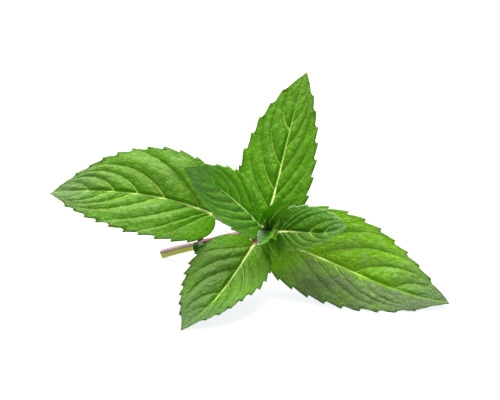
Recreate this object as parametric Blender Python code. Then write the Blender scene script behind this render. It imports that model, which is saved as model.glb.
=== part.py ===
"""Spearmint sprig: the cut tip of a mint shoot, lying on a flat surface.

A square stem runs from its cut end, which touches the surface, up to the crown. Opposite pairs of
leaves leave it one above the other, each pair turned a quarter turn from the pair below: the lower
pair spreads left and right, the middle pair back and front, the upper pair left and right again,
and the young pair and the bud close the shoot. The bare node half way down the stem keeps a small
side leaf and the stub of a stalk. The sprig rests on the front leaf's tip, on the right leaf's
lower margin and on the stem's cut end.

Frame: metres, +Z up, the surface at Z = 0, the origin under the middle of the sprig's box. +X runs
along the spread of the lower pair, and the crown leans towards -Y.
"""

import math
from collections import namedtuple

import bmesh
import bpy
from mathutils import Vector

# ---------------------------------------------------------------- driving dimensions
MM = 0.001  # every dimension below is in millimetres
CROWN = Vector((5.22, 4.66, 14.0))  # the point of the stem that the dimensions below count from

# the stem: points on its axis from the cut end to the growing tip, and its radius at each
STEM_AXIS = [
    ((-29.6, 15.3, -12.8), 1.3),  # cut end, lying on the surface
    ((-22.8, 12.7, -9.75), 1.25),
    ((-16.8, 9.7, -7.1), 1.2),  # bare node
    ((-10.5, 5.9, -3.4), 1.15),
    ((-4.0, 2.0, -0.8), 1.1),  # node of the lower pair
    ((-0.5, -1.0, 0.6), 0.95),  # node of the middle pair
    ((1.4, -3.5, 2.6), 0.75),  # node of the upper pair
    ((1.8, -4.9, 4.2), 0.45),  # node of the young pair
]
NODE_SWELLING = 0.3  # the stem is this much thicker at the bare node
SWELLING_LENGTH = 1.8
STEM_SIDES = 16
STEM_RINGS_PER_STRETCH = 4
SQUARENESS = 3.2  # exponent of the stem's section: 2 is round, more is squarer

BLADE_THICKNESS = 0.35
EDGE_THICKNESS = 0.2
RIB_DEPTH = 0.75  # how far the midrib stands below the blade, as a share of the stalk's radius
TOOTH_HEIGHT = 0.55
TOOTH_LEAN = 0.62  # where a tooth's point lies between two notches, counted from the base
FIRST_TOOTH, LAST_TOOTH = 0.10, 0.88  # the toothed stretch of a blade's length
BLADE_COLUMNS = 3  # between the midrib and the margin, on each side

# One leaf. start, lead, sweep and tip are the four points of the midrib's curve: it leaves start
# towards lead and comes to tip from sweep. face_start and face_tip say where the upper side looks.
# left and right are the half widths seen from above with the tip ahead. fold is how steeply each
# half rises from the midrib, and roll_off the slope it has reached at the margin, in degrees.
# round_base and point shape the outline, and lobe carries the base corners backwards.
Leaf = namedtuple(
    "Leaf",
    "start lead sweep tip face_start face_tip left right stalk stalk_radius "
    "fold roll_off round_base point lobe teeth",
)

LEAVES = {
    "lower_leaf_left": Leaf(
        start=(-5.6, 1.8, 0.5), lead=(-17.5, -0.5, 10.5), sweep=(-38.5, 2.5, 14.5), tip=(-62.0, 13.5, 7.5),
        face_start=(-0.2, -0.7, 0.7), face_tip=(-0.1, -0.5, 0.9), left=13.6, right=14.6,
        stalk=9.0, stalk_radius=0.75, fold=25, roll_off=0, round_base=0.55, point=1.0, lobe=5.5, teeth=11,
    ),
    "lower_leaf_right": Leaf(
        start=(-2.5, 1.4, -2.5), lead=(10.5, -2.0, 0.5), sweep=(35.0, -10.4, -15.1), tip=(51.5, -18.7, -12.2),
        face_start=(-0.1, -0.9, 0.5), face_tip=(0.6, -0.4, 0.7), left=14.8, right=13.0,
        stalk=5.5, stalk_radius=0.75, fold=25, roll_off=5, round_base=0.54, point=0.85, lobe=5.5, teeth=11,
    ),
    "middle_leaf_back": Leaf(
        start=(-0.3, 0.0, 1.8), lead=(4.5, 5.0, 7.5), sweep=(6.5, 13.5, 25.0), tip=(13.0, 22.5, 41.6),
        face_start=(-0.5, -0.8, 0.4), face_tip=(-0.4, -0.8, 0.5), left=12.4, right=10.6,
        stalk=1.6, stalk_radius=0.6, fold=20, roll_off=-8, round_base=0.42, point=0.9, lobe=6.0, teeth=11,
    ),
    "middle_leaf_front": Leaf(
        start=(-1.1, -2.5, -0.1), lead=(-5.5, -6.0, -5.0), sweep=(-11.0, -21.0, -11.5), tip=(-22.0, -32.0, -13.6),
        face_start=(0.2, -0.5, 0.8), face_tip=(-0.5, -0.2, 0.8), left=9.6, right=12.2,
        stalk=1.6, stalk_radius=0.6, fold=25, roll_off=5, round_base=0.58, point=0.95, lobe=2.8, teeth=10,
    ),
    "upper_leaf_left": Leaf(
        start=(0.3, -3.4, 3.0), lead=(-5.0, -7.0, 11.0), sweep=(-12.5, -11.0, 21.0), tip=(-21.5, -12.0, 25.0),
        face_start=(0.8, -0.2, 0.6), face_tip=(0.3, -0.9, 0.0), left=8.0, right=7.8,
        stalk=1.2, stalk_radius=0.45, fold=20, roll_off=-12, round_base=0.48, point=0.95, lobe=1.9, teeth=9,
    ),
    "upper_leaf_right": Leaf(
        start=(2.7, -3.8, 2.3), lead=(9.5, -7.5, 5.5), sweep=(14.5, -11.5, 3.5), tip=(22.5, -19.0, 10.5),
        face_start=(0.0, -0.9, 0.5), face_tip=(0.0, -0.4, 0.9), left=7.8, right=5.8,
        stalk=2.0, stalk_radius=0.45, fold=22, roll_off=-2, round_base=0.45, point=0.8, lobe=1.5, teeth=8,
    ),
    "young_leaf_back": Leaf(
        start=(2.2, -3.0, 4.2), lead=(1.7, -3.9, 6.4), sweep=(4.0, -7.4, 10.2), tip=(8.0, -11.5, 15.5),
        face_start=(-0.1, -1.0, 0.2), face_tip=(-0.2, -0.8, 0.5), left=2.9, right=2.7,
        stalk=0.5, stalk_radius=0.3, fold=35, roll_off=0, round_base=0.34, point=0.95, lobe=1.7, teeth=5,
    ),
    "young_leaf_front": Leaf(
        start=(1.7, -5.9, 3.0), lead=(2.0, -8.6, 4.3), sweep=(0.6, -12.6, 2.9), tip=(-1.0, -15.0, 3.5),
        face_start=(-0.2, -0.3, 0.95), face_tip=(-0.25, -0.45, 0.9), left=2.6, right=2.9,
        stalk=0.5, stalk_radius=0.3, fold=50, roll_off=25, round_base=0.42, point=0.95, lobe=0.5, teeth=4,
    ),
    "bud_leaf_left": Leaf(
        start=(1.2, -5.3, 4.9), lead=(0.6, -6.2, 6.0), sweep=(0.5, -7.8, 7.3), tip=(0.9, -9.6, 8.2),
        face_start=(0.9, -0.3, 0.2), face_tip=(0.9, -0.4, 0.2), left=1.6, right=1.7,
        stalk=0.3, stalk_radius=0.22, fold=35, roll_off=10, round_base=0.5, point=0.95, lobe=0.2, teeth=0,
    ),
    "bud_leaf_right": Leaf(
        start=(3.35, -6.45, 5.45), lead=(4.35, -7.65, 6.55), sweep=(4.75, -9.15, 7.75), tip=(4.55, -10.35, 8.95),
        face_start=(-0.9, -0.3, 0.4), face_tip=(-0.9, -0.5, 0.3), left=0.85, right=0.85,
        stalk=0.3, stalk_radius=0.22, fold=35, roll_off=10, round_base=0.5, point=0.95, lobe=0.2, teeth=0,
    ),
    "side_leaf_at_bare_node": Leaf(
        start=(-17.5, 7.8, -6.2), lead=(-17.9, 6.5, -5.0), sweep=(-18.6, 5.4, -5.8), tip=(-18.8, 5.0, -8.5),
        face_start=(0.0, -0.3, 1.0), face_tip=(-0.2, -1.0, 0.1), left=1.7, right=1.7,
        stalk=0.4, stalk_radius=0.3, fold=20, roll_off=-25, round_base=0.5, point=0.8, lobe=0.3, teeth=2,
    ),
    "side_leaf_at_middle_node": Leaf(
        start=(0.9, -2.6, 0.2), lead=(1.6, -4.6, -0.2), sweep=(2.6, -7.5, -0.8), tip=(4.4, -10.2, -3.2),
        face_start=(0.0, -0.4, 0.9), face_tip=(0.3, -0.8, 0.5), left=3.1, right=2.6,
        stalk=0.4, stalk_radius=0.3, fold=25, roll_off=-10, round_base=0.5, point=0.9, lobe=0.8, teeth=0,
    ),
}

STUB_BASE = (-18.25, 11.2, -5.8)  # on the bare node, at the back
STUB_DIRECTION = (-0.3, 0.75, 0.45)
STUB_LENGTH = 1.2
STUB_RADII = (0.65, 0.5)

BUD_CENTRE = (2.05, -6.2, 5.1)
BUD_DIRECTION = (0.16, -0.66, 0.73)
BUD_LENGTH = 1.5
BUD_WIDTH = 0.8

# colour, roughness
LEAF_GREEN = ((0.12, 0.30, 0.03, 1.0), 0.45)
YOUNG_GREEN = ((0.07, 0.20, 0.04, 1.0), 0.5)
STEM_COLOUR = ((0.42, 0.25, 0.17, 1.0), 0.5)
STUB_COLOUR = ((0.40, 0.20, 0.16, 1.0), 0.55)


# ---------------------------------------------------------------- small helpers
def mix(a, b, share):
    return a + (b - a) * share


def smooth_step(value):
    value = min(max(value, 0.0), 1.0)
    return value * value * (3 - 2 * value)


def placed(point):
    """A point counted from the crown in millimetres, as a place in metres."""
    return (CROWN + Vector(point)) * MM


def make_material(name, look):
    colour, roughness = look
    material = bpy.data.materials.new(name)
    material.use_nodes = True
    shader = material.node_tree.nodes["Principled BSDF"]
    shader.inputs["Base Color"].default_value = colour
    shader.inputs["Roughness"].default_value = roughness
    shader.inputs["Metallic"].default_value = 0.0
    material.diffuse_color = colour
    return material


def add_object(name, mesh, material, collection):
    mesh.materials.append(material)
    mesh.shade_smooth()
    piece = bpy.data.objects.new(name, mesh)
    collection.objects.link(piece)
    return piece


def loft(name, rings, first_point, last_point):
    """A closed skin over rings of equally many points, closed by a fan at each end."""
    mesh = bmesh.new()
    rows = [[mesh.verts.new(point) for point in ring] for ring in rings]
    count = len(rings[0])
    for row, next_row in zip(rows, rows[1:]):
        for i in range(count):
            j = (i + 1) % count
            mesh.faces.new((row[i], row[j], next_row[j], next_row[i]))
    for row, point in ((rows[0], first_point), (rows[-1], last_point)):
        centre = mesh.verts.new(point)
        for i in range(count):
            mesh.faces.new((row[i], row[(i + 1) % count], centre))
    bmesh.ops.recalc_face_normals(mesh, faces=mesh.faces)
    data = bpy.data.meshes.new(name)
    mesh.to_mesh(data)
    mesh.free()
    return data


# ---------------------------------------------------------------- leaves
class Midrib:
    """The midrib's curve, walked by length, with the leaf's own directions at each place."""

    SAMPLES = 200

    def __init__(self, leaf):
        self.leaf = leaf
        self.points = [Vector(p) for p in (leaf.start, leaf.lead, leaf.sweep, leaf.tip)]
        self.walked = [0.0]
        last = self.points[0]
        for i in range(1, self.SAMPLES + 1):
            point = self.at(i / self.SAMPLES)
            self.walked.append(self.walked[-1] + (point - last).length)
            last = point
        self.length = self.walked[-1]

    def at(self, t):
        a, b, c, d = self.points
        s = 1 - t
        return a * s**3 + b * (3 * s * s * t) + c * (3 * s * t * t) + d * t**3

    def along(self, t):
        a, b, c, d = self.points
        s = 1 - t
        return ((b - a) * (s * s) + (c - b) * (2 * s * t) + (d - c) * (t * t)).normalized()

    def place(self, share):
        """Point, forward, sideways (to the right) and upper-side directions at a share of the length."""
        target = share * self.length
        i = 0
        while i < self.SAMPLES - 1 and self.walked[i + 1] < target:
            i += 1
        step = self.walked[i + 1] - self.walked[i]
        t = (i + min(max((target - self.walked[i]) / step, 0.0), 1.0)) / self.SAMPLES
        forward = self.along(t)
        start, tip = Vector(self.leaf.face_start).normalized(), Vector(self.leaf.face_tip).normalized()
        face = mix(start, tip, share)
        face = (face - forward * face.dot(forward)).normalized()
        return self.at(t), forward, forward.cross(face), face


def outline(leaf, b):
    """Half width at b of the blade's length, as a share of the greatest."""
    b = min(max(b, 0.0), 1.0)
    widest = leaf.round_base / (leaf.round_base + leaf.point)
    return (b / widest) ** leaf.round_base * ((1 - b) / (1 - widest)) ** leaf.point


def arc_section(share, fold, roll_off):
    """Sideways and upward shares at a share of the half width, on an arc from one slope to another."""
    bend = roll_off - fold
    if abs(bend) < 1e-4:
        return share * math.cos(fold), share * math.sin(fold), fold
    slope = fold + bend * share
    sideways = (math.sin(slope) - math.sin(fold)) / bend
    upward = (math.cos(fold) - math.cos(slope)) / bend
    return sideways, upward, slope


def leaf_stations(leaf, stalk_share):
    """(share of the midrib, height of the tooth there) for each ring, from the stalk to the tip."""
    stations = [(stalk_share * i / 3, 0.0) for i in range(4)]
    blade = [(0.015, 0.0), (0.05, 0.0)]
    if leaf.teeth:
        pitch = (LAST_TOOTH - FIRST_TOOTH) / leaf.teeth
        for i in range(leaf.teeth):
            blade.append((FIRST_TOOTH + i * pitch, 0.0))
            blade.append((FIRST_TOOTH + (i + TOOTH_LEAN) * pitch, 1.0))
        blade += [(LAST_TOOTH, 0.0), (0.93, 0.0), (0.97, 0.0), (0.99, 0.0)]
    else:
        blade += [(b, 0.0) for b in (0.12, 0.25, 0.4, 0.55, 0.7, 0.82, 0.91, 0.97)]
    return stations + [(mix(stalk_share, 1.0, b), tooth) for b, tooth in blade]


def leaf_ring(leaf, midrib, share, tooth, stalk_share):
    """One closed section: the upper side from the left margin to the right, then the underside back."""
    centre, forward, sideways, face = midrib.place(share)
    b = (share - stalk_share) / (1 - stalk_share)
    is_blade = smooth_step((b + 0.01) / 0.05)
    radius = leaf.stalk_radius * mix(1.0, 0.25, max(b, 0.0))
    swing = min(max(1.15 - 0.6 * b, 0.0), 1.0)
    fold, roll_off = math.radians(leaf.fold) * swing, math.radians(leaf.roll_off) * swing
    size = min(leaf.left, leaf.right)
    small = min(size / 10.0, 1.0)  # young leaves are thinner and have lower teeth
    blade_thickness = BLADE_THICKNESS * mix(0.6, 1.0, small)
    top, underside = [], []
    for side, half_width in ((-1, leaf.left), (1, leaf.right)):
        width = max(half_width * outline(leaf, b), leaf.stalk_radius * mix(1.0, 0.3, max(b, 0.0)))
        rib = min(radius / width, 0.55)
        columns = [rib + (1 - rib) * i / BLADE_COLUMNS for i in range(BLADE_COLUMNS)] + [1.0]
        for column in columns if side > 0 else columns[::-1]:
            reach = width + (TOOTH_HEIGHT * small * tooth if column == 1.0 else 0.0)
            out, up, slope = arc_section(column, fold, roll_off)
            back = leaf.lobe * outline(leaf, b) * max(1 - b, 0.0) ** 3 * column**2
            normal = face * math.cos(slope) - sideways * (side * math.sin(slope))
            point = centre + sideways * (side * out * reach) + face * (up * width) - forward * back
            blade_depth = EDGE_THICKNESS if column == 1.0 else blade_thickness
            if column == rib:
                blade_depth += 0.4 * RIB_DEPTH * radius
            stalk_depth = EDGE_THICKNESS + 1.5 * leaf.stalk_radius * math.sqrt(1 - column**2)
            top.append(point)
            underside.append(point - normal * mix(stalk_depth, blade_depth, is_blade))
        if side < 0:
            depth = mix(EDGE_THICKNESS + 1.5 * leaf.stalk_radius, blade_thickness + RIB_DEPTH * radius, is_blade)
            top.append(centre)
            underside.append(centre - face * depth)
    return [placed(point) for point in top + underside[::-1]]


def make_leaf(name, leaf, material, collection):
    midrib = Midrib(leaf)
    stalk_share = leaf.stalk / midrib.length
    rings = [leaf_ring(leaf, midrib, share, tooth, stalk_share) for share, tooth in leaf_stations(leaf, stalk_share)]
    start, forward, _, face = midrib.place(0.0)
    tip, _, _, tip_face = midrib.place(1.0)
    start_point = placed(start - face * (0.75 * leaf.stalk_radius))
    tip_point = placed(tip - tip_face * (0.5 * EDGE_THICKNESS))
    return add_object(name, loft(name, rings, start_point, tip_point), material, collection)


# ---------------------------------------------------------------- stem, stub and bud
def stem_stations():
    """Axis points and radii along a smooth curve through STEM_AXIS (Catmull-Rom)."""
    points = [Vector(point) for point, _ in STEM_AXIS]
    radii = [radius for _, radius in STEM_AXIS]
    before = points[0] * 2 - points[1]
    after = points[-1] * 2 - points[-2]
    padded = [before] + points + [after]
    stations = []
    for k in range(len(points) - 1):
        a, b, c, d = padded[k : k + 4]
        for i in range(STEM_RINGS_PER_STRETCH):
            t = i / STEM_RINGS_PER_STRETCH
            point = 0.5 * (b * 2 + (c - a) * t + (a * 2 - b * 5 + c * 4 - d) * t**2 + (b * 3 - a - c * 3 + d) * t**3)
            stations.append((point, mix(radii[k], radii[k + 1], t)))
    stations.append((points[-1], radii[-1]))
    return stations


def square_section(angle):
    """Distance from the axis of a rounded square of half width 1, in one direction."""
    corner = abs(math.cos(angle)) ** SQUARENESS + abs(math.sin(angle)) ** SQUARENESS
    return corner ** (-1 / SQUARENESS)


def make_stem(material, collection):
    stations = stem_stations()
    bare_node = Vector(STEM_AXIS[2][0])
    upward = Vector((0, 0, 1))
    rings = []
    for i, (point, radius) in enumerate(stations):
        ahead = stations[min(i + 1, len(stations) - 1)][0] - stations[max(i - 1, 0)][0]
        ahead.normalize()
        upward = (upward - ahead * upward.dot(ahead)).normalized()
        across = ahead.cross(upward)
        swelling = NODE_SWELLING * math.exp(-(((point - bare_node).length / SWELLING_LENGTH) ** 2))
        ring = []
        for k in range(STEM_SIDES):
            angle = 2 * math.pi * (k + 0.5) / STEM_SIDES
            reach = (radius + swelling) * square_section(angle) * 0.95
            ring.append(placed(point + across * (reach * math.cos(angle)) + upward * (reach * math.sin(angle))))
        rings.append(ring)
    mesh = loft("stem", rings, placed(stations[0][0]), placed(stations[-1][0]))
    return add_object("stem", mesh, material, collection)


def stand_along(piece, centre, direction):
    piece.location = placed(centre)
    piece.rotation_mode = "QUATERNION"
    piece.rotation_quaternion = Vector(direction).to_track_quat("Z", "Y")


def make_stub(material, collection):
    """The short stub of a stalk whose leaf was taken off, at the back of the bare node."""
    shape = bmesh.new()
    low, high = STUB_RADII
    bmesh.ops.create_cone(
        shape, cap_ends=True, segments=12, radius1=low * MM, radius2=high * MM, depth=STUB_LENGTH * MM
    )
    mesh = bpy.data.meshes.new("stalk_stub")
    shape.to_mesh(mesh)
    shape.free()
    stub = add_object("stalk_stub", mesh, material, collection)
    direction = Vector(STUB_DIRECTION).normalized()
    stand_along(stub, Vector(STUB_BASE) + direction * (STUB_LENGTH / 2), direction)
    return stub


def make_bud(material, collection):
    """The growing point: a small pointed egg between the bud leaves."""
    shape = bmesh.new()
    bmesh.ops.create_uvsphere(shape, u_segments=14, v_segments=9, radius=0.5)
    for vertex in shape.verts:
        taper = 1 - 0.35 * max(vertex.co.z, 0.0) / 0.5
        vertex.co.x *= BUD_WIDTH * MM * taper
        vertex.co.y *= BUD_WIDTH * MM * taper
        vertex.co.z *= BUD_LENGTH * MM
    mesh = bpy.data.meshes.new("tip_bud")
    shape.to_mesh(mesh)
    shape.free()
    bud = add_object("tip_bud", mesh, material, collection)
    stand_along(bud, BUD_CENTRE, BUD_DIRECTION)
    return bud


def clear_scene():
    for thing in list(bpy.data.objects):
        bpy.data.objects.remove(thing, do_unlink=True)


def main():
    clear_scene()
    collection = bpy.data.collections.new("spearmint_sprig")
    bpy.context.scene.collection.children.link(collection)
    make_stem(make_material("stem_skin", STEM_COLOUR), collection)
    for name, leaf in LEAVES.items():
        look = LEAF_GREEN if name.startswith(("lower", "middle")) else YOUNG_GREEN
        make_leaf(name, leaf, make_material(name + "_green", look), collection)
    make_stub(make_material("stub_skin", STUB_COLOUR), collection)
    make_bud(make_material("bud_green", YOUNG_GREEN), collection)


main()
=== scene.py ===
"""The looks of the spearmint sprig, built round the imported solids.

Every leaf is a thin closed sheet over the same midrib and outline as its solid: quilted between its
side veins, toothed at its margin, with ribs standing out below. The stem, the stub and the bud are
modelled in the same way, and each piece takes the place of its solid.
"""

import math
from collections import namedtuple

import bpy
import numpy as np
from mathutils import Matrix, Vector, noise


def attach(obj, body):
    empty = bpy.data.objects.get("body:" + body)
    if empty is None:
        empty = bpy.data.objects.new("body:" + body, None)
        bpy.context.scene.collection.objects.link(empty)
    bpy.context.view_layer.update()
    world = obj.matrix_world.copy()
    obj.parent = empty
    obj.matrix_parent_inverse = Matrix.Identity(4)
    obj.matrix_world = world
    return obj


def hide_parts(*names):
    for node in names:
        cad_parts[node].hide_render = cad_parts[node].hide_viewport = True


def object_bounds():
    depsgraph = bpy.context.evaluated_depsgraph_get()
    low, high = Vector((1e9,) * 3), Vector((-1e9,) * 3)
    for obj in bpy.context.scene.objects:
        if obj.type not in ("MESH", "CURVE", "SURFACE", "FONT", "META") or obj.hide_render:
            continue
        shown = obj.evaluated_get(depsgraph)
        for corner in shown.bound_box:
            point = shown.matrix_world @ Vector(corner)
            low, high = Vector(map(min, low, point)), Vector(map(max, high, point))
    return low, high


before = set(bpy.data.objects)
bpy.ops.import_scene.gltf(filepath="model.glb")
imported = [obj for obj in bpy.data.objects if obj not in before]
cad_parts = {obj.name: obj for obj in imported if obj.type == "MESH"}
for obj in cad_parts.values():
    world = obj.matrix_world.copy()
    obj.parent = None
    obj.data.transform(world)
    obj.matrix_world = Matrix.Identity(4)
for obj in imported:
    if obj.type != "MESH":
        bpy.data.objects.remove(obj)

MM = 0.001
cad_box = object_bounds()

# ---------------------------------------------------------------- where things are
# Leaves are described in millimetres counted from the crown, as the solids are.
SOLIDS_MIDDLE = (cad_box[0] + cad_box[1]) / 2
CROWN = np.array([SOLIDS_MIDDLE.x / MM + 5.22, SOLIDS_MIDDLE.y / MM + 4.66, cad_box[0].z / MM + 14.0])

# One leaf. start, lead, sweep and tip are the four points of the midrib's curve, and stalk is how much
# of it is bare; face_start and face_tip say where the upper side looks; left and right are the half
# widths. fold is how steeply each half rises from the midrib and roll_off the slope it has reached at
# the margin, in degrees. round_base, point and lobe shape the outline. veins_left and veins_right are
# where the side veins leave the midrib, as shares of the blade's length. tooth_pitch is in millimetres,
# 0 without teeth; quilting is how far the blade swells between two side veins, as a share of their
# distance.
Leaf = namedtuple(
    "Leaf",
    "start lead sweep tip face_start face_tip left right stalk stalk_radius "
    "fold roll_off round_base point lobe veins_left veins_right tooth_pitch quilting",
)

LEAVES = {
    "lower_leaf_left": Leaf(
        start=(-5.6, 1.8, 0.5), lead=(-17.5, -0.5, 10.5), sweep=(-38.5, 2.5, 14.5), tip=(-62.0, 13.5, 7.5),
        face_start=(-0.2, -0.7, 0.7), face_tip=(-0.1, -0.5, 0.9), left=13.6, right=14.6,
        stalk=9.0, stalk_radius=0.75, fold=25, roll_off=0, round_base=0.55, point=1.0, lobe=5.5,
        veins_left=(0.02, 0.05, 0.155, 0.34, 0.49, 0.62, 0.76),
        veins_right=(0.015, 0.1, 0.3, 0.45, 0.59, 0.75), tooth_pitch=3.9, quilting=0.2,
    ),
    "lower_leaf_right": Leaf(
        start=(-2.5, 1.4, -2.5), lead=(10.5, -2.0, 0.5), sweep=(35.0, -10.4, -15.1), tip=(51.5, -18.7, -12.2),
        face_start=(-0.1, -0.9, 0.5), face_tip=(0.6, -0.4, 0.7), left=14.8, right=13.0,
        stalk=5.5, stalk_radius=0.75, fold=25, roll_off=5, round_base=0.54, point=0.85, lobe=5.5,
        veins_left=(0.02, 0.12, 0.27, 0.48, 0.7), veins_right=(0.02, 0.13, 0.24, 0.36, 0.5, 0.64, 0.8),
        tooth_pitch=4.6, quilting=0.11,
    ),
    "middle_leaf_back": Leaf(
        start=(-0.3, 0.0, 1.8), lead=(4.5, 5.0, 7.5), sweep=(6.5, 13.5, 25.0), tip=(13.0, 22.5, 41.6),
        face_start=(-0.5, -0.8, 0.4), face_tip=(-0.4, -0.8, 0.5), left=12.4, right=10.6,
        stalk=1.6, stalk_radius=0.6, fold=20, roll_off=-8, round_base=0.42, point=0.9, lobe=6.0,
        veins_left=(0.02, 0.1, 0.23, 0.39, 0.62, 0.78), veins_right=(0.02, 0.08, 0.18, 0.33, 0.5, 0.66, 0.8),
        tooth_pitch=4.4, quilting=0.21,
    ),
    "middle_leaf_front": Leaf(
        start=(-1.1, -2.5, -0.1), lead=(-5.5, -6.0, -5.0), sweep=(-11.0, -21.0, -11.5),
        tip=(-22.0, -32.0, -13.6),
        face_start=(0.2, -0.5, 0.8), face_tip=(-0.5, -0.2, 0.8), left=9.6, right=12.2,
        stalk=1.6, stalk_radius=0.6, fold=25, roll_off=5, round_base=0.58, point=0.95, lobe=2.8,
        veins_left=(0.02, 0.09, 0.22, 0.43, 0.6, 0.76), veins_right=(0.03, 0.13, 0.28, 0.53, 0.7, 0.83),
        tooth_pitch=3.1, quilting=0.17,
    ),
    "upper_leaf_left": Leaf(
        start=(0.3, -3.4, 3.0), lead=(-5.0, -7.0, 11.0), sweep=(-12.5, -11.0, 21.0), tip=(-21.5, -12.0, 25.0),
        face_start=(0.8, -0.2, 0.6), face_tip=(0.3, -0.9, 0.0), left=8.0, right=7.8,
        stalk=1.2, stalk_radius=0.45, fold=20, roll_off=-12, round_base=0.48, point=0.95, lobe=1.9,
        veins_left=(0.03, 0.12, 0.25, 0.4, 0.57, 0.75), veins_right=(0.03, 0.14, 0.34, 0.5, 0.68, 0.82),
        tooth_pitch=3.2, quilting=0.24,
    ),
    "upper_leaf_right": Leaf(
        start=(2.7, -3.8, 2.3), lead=(9.5, -7.5, 5.5), sweep=(14.5, -11.5, 3.5), tip=(22.5, -19.0, 10.5),
        face_start=(0.0, -0.9, 0.5), face_tip=(0.0, -0.4, 0.9), left=7.8, right=5.8,
        stalk=2.0, stalk_radius=0.45, fold=22, roll_off=-2, round_base=0.45, point=0.8, lobe=1.5,
        veins_left=(0.03, 0.08, 0.16, 0.44, 0.66), veins_right=(0.03, 0.11, 0.25, 0.46, 0.68),
        tooth_pitch=3.0, quilting=0.2,
    ),
    "young_leaf_back": Leaf(
        start=(2.2, -3.0, 4.2), lead=(1.7, -3.9, 6.4), sweep=(4.0, -7.4, 10.2), tip=(8.0, -11.5, 15.5),
        face_start=(-0.1, -1.0, 0.2), face_tip=(-0.2, -0.8, 0.5), left=2.9, right=2.7,
        stalk=0.5, stalk_radius=0.3, fold=35, roll_off=0, round_base=0.34, point=0.95, lobe=1.7,
        veins_left=(0.05, 0.2, 0.4, 0.62), veins_right=(0.08, 0.26, 0.48, 0.7),
        tooth_pitch=2.2, quilting=0.12,
    ),
    "young_leaf_front": Leaf(
        start=(1.7, -5.9, 3.0), lead=(2.0, -8.6, 4.3), sweep=(0.6, -12.6, 2.9), tip=(-1.0, -15.0, 3.5),
        face_start=(-0.2, -0.3, 0.95), face_tip=(-0.25, -0.45, 0.9), left=2.6, right=2.9,
        stalk=0.5, stalk_radius=0.3, fold=50, roll_off=25, round_base=0.42, point=0.95, lobe=0.5,
        veins_left=(0.05, 0.22, 0.45, 0.68), veins_right=(0.1, 0.32, 0.55, 0.75),
        tooth_pitch=2.2, quilting=0.1,
    ),
    "bud_leaf_left": Leaf(
        start=(1.2, -5.3, 4.9), lead=(0.6, -6.2, 6.0), sweep=(0.5, -7.8, 7.3), tip=(0.9, -9.6, 8.2),
        face_start=(0.9, -0.3, 0.2), face_tip=(0.9, -0.4, 0.2), left=1.6, right=1.7,
        stalk=0.3, stalk_radius=0.22, fold=35, roll_off=10, round_base=0.5, point=0.95, lobe=0.2,
        veins_left=(0.1, 0.35, 0.6), veins_right=(0.15, 0.4, 0.65), tooth_pitch=0, quilting=0.1,
    ),
    "bud_leaf_right": Leaf(
        start=(3.35, -6.45, 5.45), lead=(4.35, -7.65, 6.55), sweep=(4.75, -9.15, 7.75),
        tip=(4.55, -10.35, 8.95),
        face_start=(-0.9, -0.3, 0.4), face_tip=(-0.9, -0.5, 0.3), left=0.85, right=0.85,
        stalk=0.3, stalk_radius=0.22, fold=35, roll_off=10, round_base=0.5, point=0.95, lobe=0.2,
        veins_left=(0.1, 0.35, 0.6), veins_right=(0.15, 0.4, 0.65), tooth_pitch=0, quilting=0.1,
    ),
    "side_leaf_at_bare_node": Leaf(
        start=(-17.5, 7.8, -6.2), lead=(-17.9, 6.5, -5.0), sweep=(-18.6, 5.4, -5.8), tip=(-18.8, 5.0, -8.5),
        face_start=(0.0, -0.3, 1.0), face_tip=(-0.2, -1.0, 0.1), left=1.7, right=1.7,
        stalk=0.4, stalk_radius=0.3, fold=20, roll_off=-25, round_base=0.5, point=0.8, lobe=0.3,
        veins_left=(0.1, 0.35, 0.6), veins_right=(0.15, 0.4, 0.65), tooth_pitch=1.6, quilting=0.1,
    ),
    "side_leaf_at_middle_node": Leaf(
        start=(0.9, -2.6, 0.2), lead=(1.6, -4.6, -0.2), sweep=(2.6, -7.5, -0.8), tip=(4.4, -10.2, -3.2),
        face_start=(0.0, -0.4, 0.9), face_tip=(0.3, -0.8, 0.5), left=3.1, right=2.6,
        stalk=0.4, stalk_radius=0.3, fold=25, roll_off=-10, round_base=0.5, point=0.9, lobe=0.8,
        veins_left=(0.1, 0.35, 0.6), veins_right=(0.15, 0.4, 0.65), tooth_pitch=0, quilting=0.1,
    ),
}

# the sheet of a blade, in millimetres
SKIN_DEPTH = 0.08  # the upper side lies this far inside the solid's
BLADE_THICKNESS = 0.2
EDGE_THICKNESS = 0.12
FULL_SIZE = 10.0  # a leaf with this half width has the full thickness and relief
CELL_SIZE = 2.6  # the net of fine veins
CELL_SWELLING = 0.2
WIDEST_SWELLING = 7.0  # side veins further apart than this don't make the blade swell more
WAVE_SIZE, WAVE_HEIGHT = 7.0, 0.7  # slow waves of the whole blade
GROOVE_WIDTH, GROOVE_DEPTH = 0.28, 0.12  # over a side vein
SIDE_RIB_WIDTH, SIDE_RIB_HEIGHT = 0.25, 0.22  # under a side vein
GUTTER_WIDTH, GUTTER_DEPTH = 0.9, 0.12  # the hollow that the midrib lies in
MIDRIB_WIDTH, MIDRIB_HEIGHT = 0.32, 0.36  # the midrib's low ridge in that hollow
MIDRIB_LOSS = 0.2  # how much of its height the ridge has lost near the tip
UNDER_RIB = 1.45  # how far the midrib stands out below, as a share of its radius
TOOTH_HEIGHT = 1.1
FIRST_TOOTH, LAST_TOOTH = 0.08, 0.86
TOOTH_TIP = 0.92  # where a tooth is highest, as a share of its pitch
TOOTH_ROOT = 0.86  # share of the half width where a tooth begins to bend the blade
TOOTH_LEAN = 0.6  # how far a tooth's tip is drawn forward, as a share of its height
GRID = 0.3  # distance between the rows and columns of a blade's mesh
ROWS_APART = 0.06  # a row nearer than this to the one before it is left out
STALK_ROWS = 9
FOOT_ROWS = 4  # rows that carry the stalk's end on into the stem
FOOT_FLARE = 0.15


# ---------------------------------------------------------------- small helpers
def step(value, low, high):
    """0 below low, 1 above high, and smooth in between."""
    t = np.clip((value - low) / (high - low), 0.0, 1.0)
    return t * t * (3 - 2 * t)


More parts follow.
